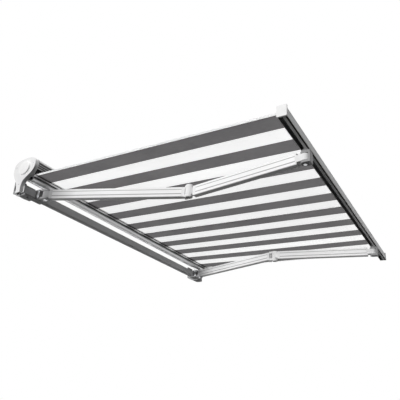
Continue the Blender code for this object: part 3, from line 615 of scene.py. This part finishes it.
def dome(radius, height, edge, centre_mark):
    """Crowned round cap with a soft edge and a shallow round mark in its middle."""
    profile = [(radius, 0), (radius, height - edge)]
    for i in range(1, 7):
        turn = pi / 2 * i / 6
        profile.append((radius - edge + edge * cos(turn), height - edge + edge * sin(turn)))
    for share in (0.8, 0.55, 0.3):
        profile.append(((radius - edge) * share, height + dome_crown * (1 - share ** 2)))
    profile += [(centre_mark, height + dome_crown - 0.0001),
                (centre_mark * 0.9, height + dome_dip), (0, height + dome_dip)]
    return lathe([(0, 0)] + profile, 72)


def run_along(made, section, count):
    """A (y, z) section drawn out between the end covers, added to made."""
    rows = [[made.verts.new((x, y, z + bar_z)) for y, z in section]
            for x in spread(mid_x - strip_half, mid_x + strip_half, count)]
    for near, far in zip(rows, rows[1:]):
        for i in range(len(section)):
            j = (i + 1) % len(section)
            made.faces.new([near[i], near[j], far[j], far[i]])
    made.faces.new(rows[0])
    made.faces.new(rows[-1][::-1])


boss_radius, boss_height = 0.050, 0.0105
cover_screw_places = ((-0.197, 0.168), (-0.036, 0.172), (-0.088, 0.030))
for side, label in ((-1, "left"), (1, "right")):
    face = mid_x + side * half_width
    boss = piece("boss_" + label,
                 gather([(dome(boss_radius, boss_height, 0.0040, 0.006),
                          frame_at((face + side * fit_gap, roller_y, roller_z), (side, 0, 0))),
                         (lathe([(0.0535, 0), (0.0535, 0.0012), (0.0528, 0.0018),
                                 (0.0506, 0.0018), (0.0504, 0.0012), (0.0504, 0)], 72),
                          frame_at((face + side * 0.0002, roller_y, roller_z),
                                   (side, 0, 0)))]),
                 white_plastic, "cassette")
    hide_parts("cover_boss_" + label)
    screws = []
    for y, z in cover_screw_places:
        screws.append((socket_head(0.0042, 0.0020),
                       frame_at((face - side * 0.0002, y, z + bar_z), (side, 0, 0), 0.3)))
    piece("cover_screws_" + label, gather(screws), zinc, "cassette")

# Dark strips between the ribs of the hood's slanted front: painted shade on the downward face
foot, head = Vector((-0.2035, 0.135)), Vector((-0.2185, 0.180))
shade_strip_rise = Vector((foot.y - head.y, head.x - foot.x)).normalized() * 0.0008
shade_strips = bmesh.new()
for low, high in ((0.11, 0.32), (0.40, 0.60), (0.68, 0.94)):
    start, end = foot.lerp(head, low), foot.lerp(head, high)
    run_along(shade_strips, [start, start + shade_strip_rise, end + shade_strip_rise, end], 12)
bmesh.ops.recalc_face_normals(shade_strips, faces=shade_strips.faces)
piece("hood_shade_strips", as_mesh(shade_strips), painted_shade_slate, "cassette", smooth=False)

# Black strip in the tray's groove: painted shade, drawn as a rubber strip
groove_shade_strip = bmesh.new()
run_along(groove_shade_strip, [(-0.1843, 0.0792), (-0.1872, 0.0792), (-0.1880, 0.0784), (-0.1866, 0.0744),
                 (-0.1880, 0.0706), (-0.1872, 0.0698), (-0.1843, 0.0698)], 24)
bmesh.ops.recalc_face_normals(groove_shade_strip, faces=groove_shade_strip.faces)
piece("tray_groove_shade", as_mesh(groove_shade_strip), black_rubber, "cassette", smooth=False)

# Bolts of the wall brackets' clamps, seen from below
clamp_radius, clamp_height = 0.0066, 0.0056
for label in ("left", "right"):
    lo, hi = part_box("clamp_bolt_" + label)
    seat = ((lo.x + hi.x) / 2, (lo.y + hi.y) / 2, lo.z + clamp_height)
    bolt = piece("clamp_head_" + label,
                 gather([(hex_head(clamp_radius, clamp_height),
                          frame_at(seat, (0, 0, -1), 0.4))]),
                 black_steel, "cassette")
    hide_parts("clamp_bolt_" + label)


# Arm details

elbow_face = 0.0398
shoulder_face = 0.0355
front_face = 0.0361
fork_face = 0.0386
lock_rise = 0.038


def arm_frame(side):
    """Middles of the tilt pin, shoulder, elbow and front pivot of one arm."""
    tilt = tilt_pin + Vector((mid_x + side * shoulder_apart, 0, 0))
    shoulder = tilt - arm_in * shoulder_reach + arm_up * shoulder_rise
    elbow = (shoulder - arm_in * upper_length * cos(upper_yaw)
             + Vector((-side * upper_length * sin(upper_yaw), 0, 0)))
    front = (elbow - arm_in * fore_length * cos(fore_yaw)
             + Vector((side * fore_length * sin(fore_yaw), 0, 0)))
    return tilt, shoulder, elbow, front


for side, label in ((-1, "left"), (1, "right")):
    tilt, shoulder, elbow, front = arm_frame(side)
    for sign, where in ((1, "top"), (-1, "bottom")):
        cap_foot = elbow + arm_up * sign * elbow_face
        piece(f"elbow_cap_{where}_{label}",
              gather([(dome(0.0165, 0.0014, 0.0010, 0.004), frame_at(cap_foot, arm_up * sign))]),
              dark_plastic, "upper_" + label)
        piece(f"elbow_rim_{where}_{label}",
              gather([(lathe([(0.0170, -0.0002), (0.0170, 0.0030), (0.0178, 0.0036),
                              (0.0218, 0.0036), (0.0228, 0.0028), (0.0232, -0.0002)], 56),
                       frame_at(cap_foot, arm_up * sign))]),
              cast, "upper_" + label)
    piece("shoulder_head_" + label,
          gather([(socket_head(0.0135, 0.0060),
                   frame_at(shoulder + arm_up * shoulder_face, arm_up)),
                  (hex_head(0.0095, 0.0062),
                   frame_at(shoulder - arm_up * shoulder_face, -arm_up, 0.2))]),
          zinc, "pitch_" + label)
    heads = []
    for base, radius in ((tilt, 0.0086), (tilt + arm_up * lock_rise, 0.0070)):
        for out in (-1, 1):
            seat = base + Vector((out * fork_face, 0, 0))
            heads.append((hex_head(radius, 0.0058), frame_at(seat, (out, 0, 0), 0.35)))
    piece("tilt_heads_" + label, gather(heads[:2]), zinc, "cassette")
    piece("lock_heads_" + label, gather(heads[2:]), zinc, "pitch_" + label)
    if side < 0:
        piece("front_head_left",
              gather([(socket_head(0.0098, 0.0056),
                       frame_at(front - arm_up * front_face, -arm_up))]),
              zinc, "front")
        piece("front_washer_left",
              gather([(lathe([(0.0102, 0), (0.0102, 0.0022), (0.0112, 0.0028), (0.0180, 0.0024),
                              (0.0188, 0.0014), (0.0188, 0)], 48),
                       frame_at(front - arm_up * (front_face - 0.0001), -arm_up))]),
              black_rubber, "front")


# Light, floor and camera

world_strength = 0.015
floor_bounce = 0.02
world = bpy.data.worlds.new("studio")
scene.world = world
world.use_nodes = True
wt = world.node_tree
for node in list(wt.nodes):
    wt.nodes.remove(node)


def shown_factor(tree):
    """1 for rays that show the background, 0 for rays that would light the object by it.

    Light that the canvas scatters also counts as diffuse, so it is taken out again.
    """
    def maths(operation, a, b):
        node = tree.nodes.new("ShaderNodeMath")
        node.operation = operation
        for socket, value in zip(node.inputs, (a, b)):
            if isinstance(value, float):
                socket.default_value = value
            else:
                tree.links.new(value, socket)
        return node.outputs[0]

    ray = tree.nodes.new("ShaderNodeLightPath").outputs
    mirror = maths("MAXIMUM", ray["Is Glossy Ray"], ray["Is Transmission Ray"])
    straight = maths("SUBTRACT", 1.0, ray["Is Diffuse Ray"])
    return maths("MULTIPLY", maths("MAXIMUM", ray["Is Camera Ray"], mirror), straight)


seen = wt.nodes.new("ShaderNodeBackground")
seen.inputs["Color"].default_value = (1, 1, 1, 1)
seen.inputs["Strength"].default_value = 1.0
dim = wt.nodes.new("ShaderNodeBackground")
dim.inputs["Color"].default_value = (1, 1, 1, 1)
dim.inputs["Strength"].default_value = world_strength
choose = wt.nodes.new("ShaderNodeMixShader")
wt.links.new(shown_factor(wt), choose.inputs["Fac"])
wt.links.new(dim.outputs[0], choose.inputs[1])
wt.links.new(seen.outputs[0], choose.inputs[2])
end = wt.nodes.new("ShaderNodeOutputWorld")
wt.links.new(choose.outputs[0], end.inputs["Surface"])


def sun(name, toward, strength, spread_degrees):
    """Soft distant lamp that shines along a direction."""
    data = bpy.data.lights.new(name, "SUN")
    data.energy = strength * pi
    data.angle = radians(spread_degrees)
    obj = bpy.data.objects.new(name, data)
    obj.rotation_euler = Vector(toward).to_track_quat("-Z", "Y").to_euler()
    scene.collection.objects.link(obj)


sun("top_light", (0.05, 0.25, -1.0), 1.08, 20)
sun("side_light", (1.0, -0.16, 0.035), 0.96, 12)
sun("front_light", (0.10, 1.0, -0.05), 0.06, 30)
sun("back_light", (-0.6, -1.0, -0.15), 0.35, 40)

floor_look = Look("pale_floor")
floor_tone = floor_look.ramp(floor_look.noise(1.4, 4.0), [(0.3, 0.86), (0.7, 0.90)])
floor_look.link(floor_tone, floor_look.shader.inputs["Base Color"])
floor_look.shader.inputs["Roughness"].default_value = 0.9
dull = floor_look.add("ShaderNodeBsdfDiffuse")
dull.inputs["Color"].default_value = (floor_bounce, floor_bounce, floor_bounce, 1)
swap = floor_look.add("ShaderNodeMixShader")
floor_look.link(shown_factor(floor_look.tree), swap.inputs["Fac"])
floor_look.link(dull.outputs[0], swap.inputs[1])
floor_look.link(floor_look.shader.outputs[0], swap.inputs[2])
floor_look.link(swap.outputs[0], floor_look.out.inputs["Surface"])
floor_mesh = bpy.data.meshes.new("floor")
floor_level = -2.75
floor_middle = -1.0
reach = 14.0
floor_mesh.from_pydata([(mid_x - reach, floor_middle - reach, 0),
                        (mid_x + reach, floor_middle - reach, 0),
                        (mid_x + reach, floor_middle + reach, 0),
                        (mid_x - reach, floor_middle + reach, 0)],
                       [], [(0, 1, 2, 3)])
floor_mesh.materials.append(floor_look.material)
ground = bpy.data.objects.new("floor", floor_mesh)
ground.location = (0, 0, floor_level)
scene.collection.objects.link(ground)

# The camera stands low at the motor end, as fitted to the photograph's edges
camera = bpy.data.cameras.new("camera")
camera.lens = 41.163
camera.sensor_width = 36.0
camera.clip_end = 100.0
eye = bpy.data.objects.new("camera", camera)
eye.location = (-1.7811, -2.506, -1.489)
eye.rotation_euler = (radians(90 + 26.59), 0, radians(-59.45))
scene.collection.objects.link(eye)
scene.camera = eye
scene.view_settings.view_transform = "Standard"
